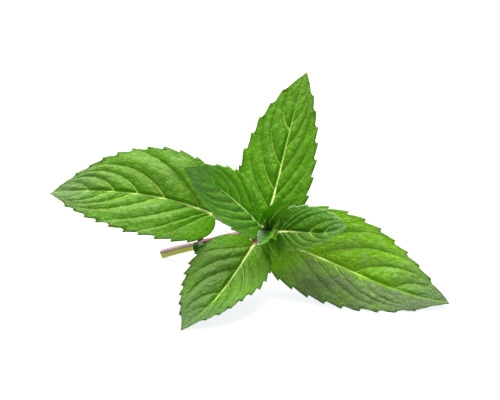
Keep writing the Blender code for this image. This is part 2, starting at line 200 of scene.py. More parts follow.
def ridge(distance, width):
    """1 where distance is 0, falling to nothing over about twice the width."""
    return np.exp(-((distance / width) ** 2))


def unit(vectors):
    return vectors / np.linalg.norm(vectors, axis=-1, keepdims=True)


def mesh_object(name, points, faces, attributes):
    """A smooth object from points in metres, with one number per point under each attribute's name."""
    mesh = bpy.data.meshes.new(name)
    mesh.from_pydata([tuple(p) for p in points], [], [tuple(f) for f in faces])
    for attribute, values in attributes.items():
        layer = mesh.attributes.new(attribute, "FLOAT", "POINT")
        layer.data.foreach_set("value", np.asarray(values, dtype=np.float32).ravel())
    mesh.shade_smooth()
    mesh.update()
    piece = bpy.data.objects.new(name, mesh)
    bpy.context.scene.collection.objects.link(piece)
    return piece


def skin(row_count, ring_count):
    """Faces over rows of closed rings, with a fan to one more point at each end."""
    faces = []
    for i in range(row_count - 1):
        low, high = i * ring_count, (i + 1) * ring_count
        for j in range(ring_count):
            k = (j + 1) % ring_count
            faces.append((low + j, high + j, high + k, low + k))
    last = (row_count - 1) * ring_count
    first_point, last_point = row_count * ring_count, row_count * ring_count + 1
    for j in range(ring_count):
        k = (j + 1) % ring_count
        faces.append((j, k, first_point))
        faces.append((last + k, last + j, last_point))
    return faces


def install(piece, node, material):
    piece.data.materials.append(material)
    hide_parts(node)
    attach(piece, "root")


# ---------------------------------------------------------------- the shape of a leaf
class Blade:
    """The upper side of a leaf's solid: a midrib walked by length, and two halves that bend away."""

    SAMPLES = 400

    def __init__(self, leaf):
        self.leaf = leaf
        t = np.linspace(0, 1, self.SAMPLES + 1)[:, None]
        a, b, c, d = (np.array(p) for p in (leaf.start, leaf.lead, leaf.sweep, leaf.tip))
        self.points = a * (1 - t) ** 3 + b * (3 * (1 - t) ** 2 * t) + c * (3 * (1 - t) * t * t) + d * t**3
        self.forward = unit((b - a) * (1 - t) ** 2 + (c - b) * (2 * (1 - t) * t) + (d - c) * t * t)
        steps = np.linalg.norm(np.diff(self.points, axis=0), axis=1)
        self.walked = np.concatenate([[0.0], np.cumsum(steps)])
        self.length = self.walked[-1]
        self.stalk_share = leaf.stalk / self.length
        self.blade_length = self.length - leaf.stalk
        self.face_start = unit(np.array(leaf.face_start))
        self.face_tip = unit(np.array(leaf.face_tip))

    def half_width(self, b, side):
        """Half width at b of the blade's length, on the left (-1) or right (1)."""
        leaf = self.leaf
        b = np.clip(b, 0.0, 1.0)
        widest = leaf.round_base / (leaf.round_base + leaf.point)
        shape = (b / widest) ** leaf.round_base * ((1 - b) / (1 - widest)) ** leaf.point
        return np.where(side < 0, leaf.left, leaf.right) * shape, shape

    def frame_at(self, share):
        """Midrib point, forward, sideways and upward directions at shares of the whole length."""
        walked = np.clip(share, 0, 1) * self.length
        centre = np.stack([np.interp(walked, self.walked, self.points[:, k]) for k in range(3)], -1)
        forward = unit(np.stack([np.interp(walked, self.walked, self.forward[:, k]) for k in range(3)], -1))
        face = self.face_start + (self.face_tip - self.face_start) * share[..., None]
        face = unit(face - forward * np.sum(face * forward, -1, keepdims=True))
        return centre, forward, np.cross(forward, face), face

    def surface(self, b, column, side, tooth):
        """Points and normals at b of the blade's length and column of the half width (0 midrib, 1 margin)."""
        leaf = self.leaf
        share = self.stalk_share + (1 - self.stalk_share) * b
        centre, forward, sideways, face = self.frame_at(share)
        swing = np.clip(1.15 - 0.6 * b, 0.0, 1.0)
        fold = np.radians(leaf.fold) * swing
        bend = np.radians(leaf.roll_off) * swing - fold
        bend = np.where(np.abs(bend) < 1e-4, 1e-4, bend)
        width, shape = self.half_width(b, side)
        width = np.maximum(width, self.rib_radius(b))
        slope = fold + bend * column
        out = (np.sin(slope) - np.sin(fold)) / bend
        up = (np.cos(fold) - np.cos(slope)) / bend
        back = leaf.lobe * shape * np.clip(1 - b, 0, 1) ** 3 * column**2
        root = np.clip((column - TOOTH_ROOT) / (1 - TOOTH_ROOT), 0, 1) ** 1.5
        reach = width + tooth * root
        point = centre + sideways * (side * out * reach)[..., None] + face * (up * width)[..., None]
        point = point + forward * (TOOTH_LEAN * tooth * root - back)[..., None]
        normal = face * np.cos(slope)[..., None] - sideways * (side * np.sin(slope))[..., None]
        return point, unit(normal), width

    def rib_radius(self, b):
        return self.leaf.stalk_radius * (1.0 - 0.75 * np.clip(b, 0, 1))


# Side veins leave the midrib at s and reach the margin at margin_share(s), on a curve whose forward
# reach grows with this power of the share of the half width.
VEIN_CURVE = 1.4
VEIN_SWEEP = 3.5
BASE_FAN = 0.3  # share of the margin that the veins fanning out of the blade's base take
BASE_FAN_LENGTH = 0.012


def margin_share(s):
    return 1 - (1 - s) ** VEIN_SWEEP * (1 - BASE_FAN * (1 - np.exp(-s / BASE_FAN_LENGTH)))


def margin_spread(s):
    """How much further apart two veins are at the margin than at the midrib."""
    return (margin_share(s + 1e-4) - margin_share(s)) / 1e-4


def blade_rows(blade):
    """Midrib shares of the mesh's rows: even along the midrib and the margin, denser at veins and teeth."""
    leaf = blade.leaf
    fine = np.linspace(0, 1, 4001) ** 2
    walked = (fine + margin_share(fine)) / 2
    spacing = GRID * min(1.0, 0.35 + max(leaf.left, leaf.right) / 15)
    count = max(int(1.6 * blade.blade_length / spacing), 24)
    places = list(np.interp(np.linspace(0, 1, count), walked, fine))
    for start in leaf.veins_left + leaf.veins_right:
        at_vein = np.interp(start, fine, walked)
        for offset in (-0.35, -0.15, 0.0, 0.15, 0.35):
            place = at_vein + offset / blade.blade_length
            if 0.003 < place < 0.99:
                places.append(np.interp(place, walked, fine))
    teeth = tooth_count(blade)
    for tooth in range(teeth):
        for part in (0.0, TOOTH_TIP - 0.04, TOOTH_TIP, TOOTH_TIP + 0.04):
            at_margin = FIRST_TOOTH + (LAST_TOOTH - FIRST_TOOTH) * (tooth + part) / teeth
            places.append(np.interp(at_margin, margin_share(fine), fine))
    places = np.sort(places)
    apart = np.diff(np.interp(places, fine, walked)) * blade.blade_length > ROWS_APART
    return places[np.concatenate([[True], apart])]


def vein_phase(starts, s):
    """A number that is whole on every side vein and runs evenly between two of them."""
    first_gap = starts[1] - starts[0]
    last_gap = starts[-1] - starts[-2]
    knots = [starts[0] - first_gap, *starts]
    while knots[-1] < 1.0:
        knots.append(knots[-1] + last_gap)
    phase = np.interp(s, knots, np.arange(len(knots)) - 1.0)
    gap = np.interp(s, knots[:-1], np.diff(knots))
    return phase, gap


def tooth_count(blade):
    if not blade.leaf.tooth_pitch:
        return 0
    return max(round((LAST_TOOTH - FIRST_TOOTH) * blade.blade_length / blade.leaf.tooth_pitch), 1)


def tooth_profile(blade, b):
    """Saw teeth that point forward: a long outer edge, and a short step back to the margin."""
    count = tooth_count(blade)
    place = (b - FIRST_TOOTH) / (LAST_TOOTH - FIRST_TOOTH) * count
    part = place - np.floor(place)
    rise = part / TOOTH_TIP
    fall = (1 - part) / (1 - TOOTH_TIP)
    inside = (place > 0) & (place < count)
    size = min(blade.leaf.left, blade.leaf.right) / FULL_SIZE
    height = TOOTH_HEIGHT * min(size, 1.0) * (1 - 0.35 * step(b, 0.6, LAST_TOOTH))
    return np.where(inside, np.minimum(rise, fall), 0.0) * height


def net_of_veins(points, size, seed):
    """How far each point is from the net of fine veins, 0 on it and about 1 in a cell's middle."""
    away = Vector((seed * 17.3, seed * 5.1, seed * 9.7))
    values = []
    for x, y in points:
        distances, _ = noise.voronoi(Vector((x / size, y / size, 0.0)) + away)
        values.append(min((distances[1] - distances[0]) * 1.6, 1.0))
    return np.array(values)


def soft_noise(points, size, seed):
    away = Vector((seed * 3.7, seed * 11.9, seed * 7.1))
    return np.array([noise.noise(Vector((x / size, y / size, 0.0)) + away) for x, y in points])


class Places:
    """Where the points of a leaf's mesh lie: rows from the foot of the stalk to the tip, margin to margin."""

    def __init__(self, blade):
        leaf = blade.leaf
        stalk = np.linspace(-blade.stalk_share / (1 - blade.stalk_share), 0, STALK_ROWS + 1)[:-1]
        rows = np.concatenate([np.full(FOOT_ROWS, stalk[0]), stalk, blade_rows(blade)])
        self.half_count = int(np.clip(max(leaf.left, leaf.right) / GRID, 12, 44))
        half = (np.arange(1, self.half_count + 1) / self.half_count) ** 1.25
        across = np.concatenate([-half[::-1], [0.0], half])
        self.start = rows[:, None]  # where the row leaves the midrib, below 0 on the stalk
        reach = margin_share(np.clip(self.start, 0, 1)) - np.clip(self.start, 0, 1)
        self.b = self.start + reach * np.abs(across) ** VEIN_CURVE
        self.side = np.broadcast_to(np.sign(across), self.b.shape)
        self.column = np.broadcast_to(np.abs(across), self.b.shape)
        tooth = tooth_profile(blade, self.b)
        self.point, self.normal, width = blade.surface(self.b, self.column, self.side, tooth)
        self.from_midrib = self.column * width
        self.flat = np.stack([self.b * blade.blade_length, self.side * self.from_midrib], -1).reshape(-1, 2)

        left_phase, left_gap = vein_phase(leaf.veins_left, self.start)
        right_phase, right_gap = vein_phase(leaf.veins_right, self.start)
        self.phase = np.where(self.side < 0, left_phase, right_phase)
        gap = np.where(self.side < 0, left_gap, right_gap)
        lean = blade.blade_length * reach * VEIN_CURVE * self.column ** (VEIN_CURVE - 1)
        self.spacing = gap * blade.blade_length * width / np.hypot(width, lean)
        spread = margin_spread(np.clip(self.start, 0, 0.999)) - 1
        self.local_spacing = self.spacing * np.maximum(1 + spread * self.column**VEIN_CURVE, 0.3)
        self.nearness = np.abs(self.phase - np.round(self.phase))
        self.from_vein = self.nearness * self.local_spacing


def leaf_relief(blade, at, seed):
    """Heights over the solid's upper side: of the swollen sheet, of its upper and of its lower side."""
    small = min(min(blade.leaf.left, blade.leaf.right) / FULL_SIZE, 1.0)
    on_blade = step(at.start, 0.0, 0.03) * step(at.from_midrib, 0.0, 1.2)
    fading = 1 - step(at.column, 0.65, 1.0)
    towards_tip = 1 - 0.85 * step(at.b, 0.62, 0.97)
    swell = np.sin(np.pi * np.clip(at.nearness * 2, 0, 1) / 2) ** 0.9
    swelling = blade.leaf.quilting * towards_tip * np.minimum(at.spacing, WIDEST_SWELLING) * swell
    swelling = swelling * on_blade * (0.25 + 0.75 * fading)
    cell = net_of_veins(at.flat, CELL_SIZE * (0.5 + 0.5 * small), seed).reshape(at.b.shape)
    cells = CELL_SWELLING * (0.4 + 0.6 * small) * step(cell, 0.0, 0.7) * on_blade
    wave = soft_noise(at.flat, WAVE_SIZE * (0.4 + 0.6 * small), seed + 40).reshape(at.b.shape)
    wave = wave * WAVE_HEIGHT * small * step(at.column, 0.2, 1.0) * on_blade
    sheet = swelling + cells + wave

    groove = GROOVE_DEPTH * small * ridge(at.from_vein, GROOVE_WIDTH)
    groove = groove * towards_tip * on_blade * (0.3 + 0.7 * fading)
    midrib = (MIDRIB_HEIGHT - MIDRIB_LOSS * step(at.b, 0.1, 0.7)) * ridge(at.from_midrib, MIDRIB_WIDTH)
    gutter = GUTTER_DEPTH * ridge(at.from_midrib, GUTTER_WIDTH) - midrib
    gutter = gutter * small * step(at.start, 0.0, 0.05)
    upper = sheet - groove - gutter - SKIN_DEPTH

    radius = blade.rib_radius(at.b)
    round_rib = np.sqrt(np.clip(1 - (at.from_midrib / radius) ** 2, 0, 1))
    side_rib = SIDE_RIB_HEIGHT * small * ridge(at.from_vein, SIDE_RIB_WIDTH) * on_blade * (0.2 + 0.8 * fading)
    thickness = EDGE_THICKNESS + (BLADE_THICKNESS - EDGE_THICKNESS) * (1 - at.column**4)
    lower = sheet - SKIN_DEPTH - (thickness * (0.6 + 0.4 * small) + UNDER_RIB * radius * round_rib + side_rib)
    return sheet, upper, lower, cell


def lead_into_stem(rings):
    """Draw the first rings, all copies of the stalk's end, in to the nearest point of the stem's axis."""
    foot = rings[0].mean(0)
    axis = stem_stations()[0]
    into_stem = axis[np.argmin(np.linalg.norm(axis - foot, axis=1))] - foot
    for i, part in enumerate(np.linspace(1, 0, FOOT_ROWS, endpoint=False)):
        rings[i] = foot + (rings[FOOT_ROWS] - foot) * (1 + FOOT_FLARE * part**2) + into_stem * part


def in_metres(rings, ends):
    """The points of the rings and the two ends as the scene counts them, none under the floor."""
    points = (np.concatenate([np.reshape(rings, (-1, 3)), ends]) + CROWN) * MM
    points[:, 2] = np.maximum(points[:, 2], cad_box[0].z)
    return points


def make_leaf(name, leaf, seed):
    blade = Blade(leaf)
    at = Places(blade)
    sheet, upper, lower, cell = leaf_relief(blade, at, seed)
    top = at.point + at.normal * upper[..., None]
    underside = at.point + at.normal * lower[..., None]
    rings = np.concatenate([top, underside[:, ::-1]], 1)
    lead_into_stem(rings)
    ends = [rings[0].mean(0), (top[-1, at.half_count] + underside[-1, at.half_count]) / 2]

    def both(values, underside_values=None):
        lower_values = values if underside_values is None else underside_values
        ring = np.concatenate([values, lower_values[:, ::-1]], 1)
        return np.concatenate([ring.ravel(), [ring[0].mean(), ring[-1].mean()]])

    attributes = {
        "vein_phase": both(at.phase),
        "vein_spacing": both(at.local_spacing),
        "from_midrib": both(at.from_midrib),
        "column": both(at.column),
        "along": both(at.b),
        "side": both(at.side),
        "crest": both(np.clip(sheet / (leaf.quilting * 5.0 + CELL_SWELLING), 0, 1.5)),
        "cell": both(cell),
        "below": both(np.zeros_like(at.b), np.ones_like(at.b)),
    }
    return mesh_object(name + "_sheet", in_metres(rings, ends), skin(*rings.shape[:2]), attributes)


# ---------------------------------------------------------------- materials
class Nodes:
    """Short names for a material's nodes: each call makes one and gives its output."""

    def __init__(self, name):
        self.material = bpy.data.materials.new(name)
        self.material.use_nodes = True
        self.tree = self.material.node_tree
        self.shader = self.tree.nodes["Principled BSDF"]

    def link(self, value, socket):
        if isinstance(value, bpy.types.NodeSocket):
            self.tree.links.new(value, socket)
        elif isinstance(value, tuple) and len(value) == 3 and socket.type == "RGBA":
            socket.default_value = (*value, 1.0)
        else:
            socket.default_value = value

    def attribute(self, name):
        node = self.tree.nodes.new("ShaderNodeAttribute")
        node.attribute_name = name
        return node.outputs["Fac"]

    def product(self, *values):
        result = values[0]
        for value in values[1:]:
            result = self.math("MULTIPLY", result, value)
        return result

    def math(self, operation, *values, clamp=False):
        node = self.tree.nodes.new("ShaderNodeMath")
        node.operation = operation
        node.use_clamp = clamp
        for value, socket in zip(values, node.inputs):
            self.link(value, socket)
        return node.outputs[0]

    def mix(self, share, first, second):
        node = self.tree.nodes.new("ShaderNodeMix")
        node.data_type = "RGBA"
        self.link(share, node.inputs["Factor"])
        self.link(first, node.inputs[6])
        self.link(second, node.inputs[7])
        return node.outputs[2]

    def smooth(self, value, low, high, start=0.0, end=1.0):
        node = self.tree.nodes.new("ShaderNodeMapRange")
        node.interpolation_type = "SMOOTHSTEP"
        for socket, number in zip(node.inputs, (value, low, high, start, end)):
            self.link(number, socket)
        return node.outputs[0]

    def noise(self, size, detail=3.0, roughness=0.5):
        """Smooth noise with features of about size millimetres."""
        node = self.tree.nodes.new("ShaderNodeTexNoise")
        node.inputs["Scale"].default_value = 1.0 / (size * MM)
        node.inputs["Detail"].default_value = detail
        node.inputs["Roughness"].default_value = roughness
        self.link(self.places(), node.inputs["Vector"])
        return node.outputs["Fac"]

    def noise_at(self, numbers, scale, detail):
        """Noise over a place given by three numbers instead of by the object's own space."""
        place = self.tree.nodes.new("ShaderNodeCombineXYZ")
        for number, socket in zip(numbers, place.inputs):
            self.link(number, socket)
        node = self.tree.nodes.new("ShaderNodeTexNoise")
        node.inputs["Scale"].default_value = scale
        node.inputs["Detail"].default_value = detail
        self.link(place.outputs[0], node.inputs["Vector"])
        return node.outputs["Fac"]

    def cells(self, size, feature="DISTANCE_TO_EDGE"):
        node = self.tree.nodes.new("ShaderNodeTexVoronoi")
        node.feature = feature
        node.inputs["Scale"].default_value = 1.0 / (size * MM)
        self.link(self.places(), node.inputs["Vector"])
        return node.outputs["Distance"]

    def places(self):
        return self.tree.nodes.new("ShaderNodeTexCoord").outputs["Object"]

    def bump(self, height, distance_mm, strength, after=None):
        node = self.tree.nodes.new("ShaderNodeBump")
        node.inputs["Strength"].default_value = strength
        node.inputs["Distance"].default_value = distance_mm * MM
        self.link(height, node.inputs["Height"])
        if after is not None:
            self.link(after, node.inputs["Normal"])
        return node.outputs[0]

    def finish(self, **sockets):
        for name, value in sockets.items():
            self.link(value, self.shader.inputs[name.replace("_", " ")])
        return self.material


# The greens of one leaf: valley beside the veins and crest between them, the crest's greyer green being
# painted sheen, base and tip of the blade, rim
# # at the margin. After tip comes a greyer green of painted sheen, laid over the left and the right half by
# the two shares that
# # follow it. veins is how clearly the pale veins show; veins_end and midrib_end are the shares of the
# # blade where the side veins and the midrib have faded.
LeafLook = namedtuple(
    "LeafLook",
    "valley crest base tip bloom bloom_left bloom_right veins veins_end midrib_end rim",
)

VEIN_COLOUR = (0.35, 0.55, 0.08)
MIDRIB_COLOUR = (0.57, 0.76, 0.20)
MIDRIB_FOOT_COLOUR = (0.90, 0.98, 0.40)
SHEEN_COLOUR = (0.23, 0.31, 0.16)
SHEEN = 0.4
UNDERSIDE = (0.106, 0.187, 0.056)
DARK_GREEN = (0.019, 0.062, 0.003)


def blade_green(n, look):
    """The blade's green between its veins, with painted sheen on its crests and on the pillow slopes that
    face the light, and how much of it is covered by the greyer painted sheen laid over each half.
    """
    along, column = n.attribute("along"), n.attribute("column")
    side, cell, phase = n.attribute("side"), n.attribute("cell"), n.attribute("vein_phase")
    # painted sheen: the crests between the veins, and the slope of each pillow that faces the light, turn to
    # the greyer crest green
    raised = n.product(n.smooth(n.attribute("crest"), 0.1, 1.0), n.smooth(cell, 0.0, 0.6, 0.3, 1.0))
    # from the side vein nearer the base on the left half, from the one nearer the tip on the right
    across_pillow = n.math("ABSOLUTE", n.math("SUBTRACT", n.math("FRACT", phase), n.smooth(side, -0.1, 0.1)))
    slope = n.product(n.smooth(across_pillow, 0.3, 0.95), n.smooth(column, 0.05, 0.3))
    pale = n.math("ADD", n.product(raised, 0.35), n.product(slope, 0.8), clamp=True)
    mottle = n.smooth(n.noise(1.7, 4.0, 0.6), 0.35, 0.6, 0.45, 1.0)
    green = n.mix(n.product(pale, mottle), look.valley, look.crest)
    green = n.mix(n.smooth(along, 0.0, 0.4, 0.85, 0.0), green, look.base)
    green = n.mix(n.smooth(along, 0.55, 1.0, 0.0, 0.8), green, look.tip)

    # painted sheen: a greyer green laid over the left or the right half of the blade, away from the midrib
    # and the base
    bloom = n.smooth(side, -0.6, 0.6, look.bloom_left, look.bloom_right)
    bloom = n.product(bloom, n.smooth(column, 0.0, 0.2), n.smooth(along, 0.0, 0.3, 0.1, 1.0))
    bloom = n.product(bloom, n.smooth(n.noise(6.0, 3.0), 0.3, 0.65, 0.65, 1.0))
    green = n.mix(bloom, green, look.bloom)
    sheen = n.product(raised, n.smooth(n.noise(2.4, 2.5), 0.48, 0.66), n.smooth(column, 0.1, 0.35))
    green = n.mix(n.product(sheen, n.smooth(along, 0.1, 0.35, 0.0, SHEEN)), green, SHEEN_COLOUR)
    green = n.mix(n.smooth(n.noise(0.4, 2.0), 0.45, 0.75, 0.0, 0.35), green, DARK_GREEN)
    green = n.mix(n.smooth(column, 0.92, 1.0, 0.0, 0.5), green, look.rim)
    # painted shade: the sunken net of fine veins is drawn darker
    green = n.mix(n.smooth(cell, 0.0, 0.2, 0.22, 0.0), green, DARK_GREEN)
    return green, bloom


def add_veins(n, green, bloom, look, size):
    """Painted shade along each side vein with the pale vein in it, and the pale midrib."""
    along, column, from_midrib = n.attribute("along"), n.attribute("column"), n.attribute("from_midrib")
    to_vein = n.math("PINGPONG", n.attribute("vein_phase"), 0.5)
    from_vein = n.product(to_vein, n.attribute("vein_spacing"))
    shade = n.product(n.smooth(from_vein, 0.1, 0.7 * size, 0.28, 0.0), n.smooth(column, 0.2, 1.0, 1.0, 0.35))
    green = n.mix(shade, green, DARK_GREEN)

    width = n.smooth(column, 0.0, 0.9, 0.27 * size, 0.17 * size)
    vein = n.smooth(n.math("DIVIDE", from_vein, width), 0.4, 1.2, 1.0, 0.0)
    vein = n.product(vein, n.smooth(column, 0.05, 0.9, look.veins, 0.05))
    vein = n.product(vein, n.smooth(along, look.veins_end - 0.3, look.veins_end, 1.0, 0.05))
    # the pale side veins are hidden where the painted sheen lies
    bare = n.math("SUBTRACT", 1.0, n.product(bloom, bloom, 0.9))
    green = n.mix(n.product(vein, bare), green, VEIN_COLOUR)

    width = n.smooth(along, 0.0, 0.9, 0.5 * size, 0.15 * size)
    midrib = n.smooth(n.math("DIVIDE", from_midrib, width), 0.45, 1.0, 1.0, 0.0)
    clear, faded = min(1.0, 1.6 * look.veins), 0.2 * look.veins
    midrib = n.product(midrib, n.smooth(along, look.midrib_end - 0.35, look.midrib_end + 0.1, clear, faded))
    colour = n.mix(n.smooth(along, 0.05, 0.5), MIDRIB_FOOT_COLOUR, MIDRIB_COLOUR)
    return n.mix(midrib, green, colour)


def leaf_material(name, look, stalk_colour, size):
    n = Nodes(name)
    green, bloom = blade_green(n, look)
    green = add_veins(n, green, bloom, look, size)
    on_stalk = n.smooth(n.attribute("along"), -0.02, 0.04, 1.0, 0.0)
    on_stalk = n.product(on_stalk, n.smooth(n.attribute("from_midrib"), 0.6, 1.4, 1.0, 0.0))
    green = n.mix(on_stalk, green, stalk_colour)
    green = n.mix(n.product(n.attribute("below"), 0.75), green, UNDERSIDE)

    roughness = n.smooth(n.noise(0.8, 3.0), 0.2, 0.8, 0.4, 0.58)
    pores = n.bump(n.cells(0.4, "F1"), 0.05, 0.7)
    crumple = n.bump(n.noise(1.5, 3.0, 0.55), 0.4, 0.6, after=pores)
    net_relief = n.bump(n.cells(1.1), 0.26, 0.9, after=crumple)
    n.shader.inputs["Subsurface Weight"].default_value = 0.15
    n.shader.inputs["Subsurface Radius"].default_value = (0.5, 1.0, 0.1)
    n.shader.inputs["Subsurface Scale"].default_value = 0.6 * MM
    n.shader.inputs["Specular IOR Level"].default_value = 0.09
    return n.finish(Base_Color=green, Roughness=roughness, Normal=net_relief)


LOWER_LOOK = LeafLook(
    valley=(0.07, 0.21, 0.0), crest=(0.125, 0.23, 0.022), base=(0.072, 0.235, 0.0), tip=(0.135, 0.20, 0.09),
    bloom=(0.108, 0.175, 0.044), bloom_left=0.2, bloom_right=0.15, veins=0.85, veins_end=0.9, midrib_end=0.9,
    rim=(0.02, 0.065, 0.003),
)
# the base green is much brighter than the rest of the blade: painted light lifting the shade that falls on
# the leaf's base under the leaves above it
RIGHT_LOOK = LOWER_LOOK._replace(
    valley=(0.13, 0.31, 0.0), crest=(0.135, 0.29, 0.02), base=(0.25, 0.62, 0.0), tip=(0.05, 0.075, 0.044),
    bloom=(0.072, 0.098, 0.043), bloom_left=0.1, bloom_right=0.9, veins=0.75, veins_end=0.7, midrib_end=0.65,
)
BACK_LOOK = LOWER_LOOK._replace(
    valley=(0.062, 0.22, 0.0), crest=(0.105, 0.25, 0.002), base=(0.058, 0.23, 0.0), tip=(0.09, 0.22, 0.012),
    bloom=(0.10, 0.22, 0.02), bloom_left=0.1, bloom_right=0.2, veins=0.85, midrib_end=0.75,
)
FRONT_LOOK = LOWER_LOOK._replace(
    valley=(0.07, 0.20, 0.0), crest=(0.108, 0.202, 0.022), base=(0.105, 0.29, 0.0), tip=(0.05, 0.09, 0.046),
    bloom=(0.072, 0.13, 0.03), bloom_left=0.2, bloom_right=0.6, veins=0.55, veins_end=0.6, midrib_end=0.75,
)
UPPER_LOOK = LOWER_LOOK._replace(
    valley=(0.062, 0.255, 0.0), crest=(0.155, 0.35, 0.004), base=(0.054, 0.235, 0.0), tip=(0.10, 0.245, 0.05),
    bloom=(0.085, 0.21, 0.04), bloom_left=0.6, bloom_right=0.1, veins=0.6, midrib_end=0.65,
    rim=(0.19, 0.35, 0.08),
)
UPPER_RIGHT_LOOK = UPPER_LOOK._replace(
    valley=(0.027, 0.12, 0.0), crest=(0.06, 0.155, 0.0), base=(0.02, 0.105, 0.0), tip=(0.08, 0.165, 0.045),
    bloom=(0.07, 0.14, 0.018), bloom_left=0.1, bloom_right=0.5, midrib_end=0.5, rim=(0.22, 0.33, 0.13),
)
YOUNG_LOOK = LOWER_LOOK._replace(
    valley=(0.055, 0.22, 0.0), crest=(0.08, 0.26, 0.001), base=(0.08, 0.29, 0.0), tip=(0.10, 0.29, 0.002),
    bloom_left=0.0, bloom_right=0.0, veins=0.25,
)
CUPPED_LOOK = YOUNG_LOOK._replace(
    bloom=(0.075, 0.17, 0.075), bloom_left=0.1, bloom_right=1.0, veins=0.05, rim=(0.30, 0.42, 0.19),
)
NODE_LOOK = YOUNG_LOOK._replace(
    valley=(0.009, 0.056, 0.005), crest=(0.02, 0.08, 0.012), base=(0.009, 0.05, 0.003),
    tip=(0.02, 0.075, 0.012), veins=0.1,
)
LOOKS = {
    "lower_leaf_left": LOWER_LOOK,
    "lower_leaf_right": RIGHT_LOOK,
    "middle_leaf_back": BACK_LOOK,
    "middle_leaf_front": FRONT_LOOK,
    "upper_leaf_left": UPPER_LOOK,
    "upper_leaf_right": UPPER_RIGHT_LOOK,
    "young_leaf_front": CUPPED_LOOK,
    "side_leaf_at_bare_node": NODE_LOOK,
}
PALE_STALK = (0.212, 0.3, 0.062)
RED_STALK = (0.25, 0.075, 0.038)


def make_leaves():
    for seed, (name, leaf) in enumerate(LEAVES.items()):
        piece = make_leaf(name, leaf, seed)
        stalk = RED_STALK if name == "middle_leaf_front" else PALE_STALK
        size = 0.35 + 0.65 * min(min(leaf.left, leaf.right) / FULL_SIZE, 1.0)
        material = leaf_material(name + "_skin", LOOKS.get(name, YOUNG_LOOK), stalk, size)
        install(piece, name, material)


# ---------------------------------------------------------------- stem, stub and bud
# Axis points and radii from the cut end to the crown, as in the solid.
STEM_AXIS = [
    ((-29.6, 15.3, -12.8), 1.3), ((-22.8, 12.7, -9.75), 1.25), ((-16.8, 9.7, -7.1), 1.2),
    ((-10.5, 5.9, -3.4), 1.15), ((-4.0, 2.0, -0.8), 1.1), ((-0.5, -1.0, 0.6), 0.95),
    ((1.4, -3.5, 2.6), 0.75), ((1.8, -4.9, 4.2), 0.45),
]
STATION_SPACING = 0.3
BARE_NODE = np.array(STEM_AXIS[2][0])
NODE_SWELLING = 0.3
CROWN_NODE = np.array(STEM_AXIS[6][0])
CROWN_SWELLING = 0.9
SWELLING_LENGTH = 1.8
SQUARENESS = 3.2
STEM_RING = 64
ROUGHNESS = 0.05
# the cut face: rings by their share of the stem's width, and how far inside the cut end they lie
CUT_RINGS = ((0.2, 0.24), (0.4, 0.2), (0.62, 0.12), (0.8, 0.02), (0.88, 0.05), (0.97, -0.06))

STUB_BASE = np.array([-18.25, 11.2, -5.8])
STUB_DIRECTION = unit(np.array([-0.3, 0.75, 0.45]))
STUB_LENGTH = 1.2
STUB_ROOT = 0.75  # the stub starts this far inside the node
STUB_RING = 28

BUD_CENTRE = np.array([2.05, -6.2, 5.1])
BUD_DIRECTION = unit(np.array([0.16, -0.66, 0.73]))
BUD_LENGTH = 2.4
BUD_WIDTH = 1.9
BUD_ROWS, BUD_RING = 60, 48
SCALE_PAIRS = 4.0


def stem_stations():
    """Points, radii and distances from the cut along a smooth curve through STEM_AXIS (Catmull-Rom)."""
    points = np.array([point for point, _ in STEM_AXIS])
    radii = np.array([radius for _, radius in STEM_AXIS])
    before = np.concatenate([[2 * points[0] - points[1]], points[:-1]])
    after = np.concatenate([points[1:], [2 * points[-1] - points[-2]]])
    curve, thickness = [], []
    for i in range(len(points) - 1):
        count = max(int(np.linalg.norm(points[i + 1] - points[i]) / STATION_SPACING), 2)
        for t in np.arange(count) / count:
            p0, p1, p2, p3 = before[i], points[i], points[i + 1], after[i + 1]
            bend = (2 * p0 - 5 * p1 + 4 * p2 - p3) * t * t + (3 * p1 - p0 - 3 * p2 + p3) * t**3
            curve.append((2 * p1 + (p2 - p0) * t + bend) / 2)
            thickness.append(radii[i] + (radii[i + 1] - radii[i]) * t)
    curve.append(points[-1])
    thickness.append(radii[-1])
    curve = np.array(curve)
    walked = np.concatenate([[0.0], np.cumsum(np.linalg.norm(np.diff(curve, axis=0), axis=1))])
    return curve, np.array(thickness), walked


def stem_section(angle):
    """A square with round corners, a hollow along each side and fine ridges."""
    corner = np.abs(np.cos(angle)) ** SQUARENESS + np.abs(np.sin(angle)) ** SQUARENESS
    hollow = 0.05 * np.cos(2 * angle) ** 4
    return corner ** (-1 / SQUARENESS) * 0.95 - hollow + 0.012 * np.cos(20 * angle)


def rough_ring(angle, size, place):
    """Noise round a ring, from a circle of this size at this place in the noise."""
    return np.array([noise.noise(Vector((size * math.cos(a), size * math.sin(a), place))) for a in angle])


def stem_reach(angle, section, point, radius, walked):
    """How far the stem's skin is from its axis, all round one station."""
    from_node = np.linalg.norm(point - BARE_NODE)
    from_crown = np.linalg.norm(point - CROWN_NODE)
    swelling = NODE_SWELLING * ridge(from_node, SWELLING_LENGTH)
    swelling += CROWN_SWELLING * ridge(from_crown, SWELLING_LENGTH)
    ring_scar = -0.1 * ridge(from_node - 0.5, 0.25)
    return (radius + swelling) * section + ring_scar + ROUGHNESS * rough_ring(angle, 1.3, walked * 0.35)


def cut_face(angle, centre, first_ring, ahead):
    """Rings that close the cut end: a broken rim, and a face that sinks towards the pith."""
    rings = []
    for share, depth in CUT_RINGS:
        ragged = depth + 0.12 * rough_ring(angle, 3 * share, 4.7)
        rings.append(centre + (first_ring - centre) * share + ahead * ragged[:, None])
    return rings


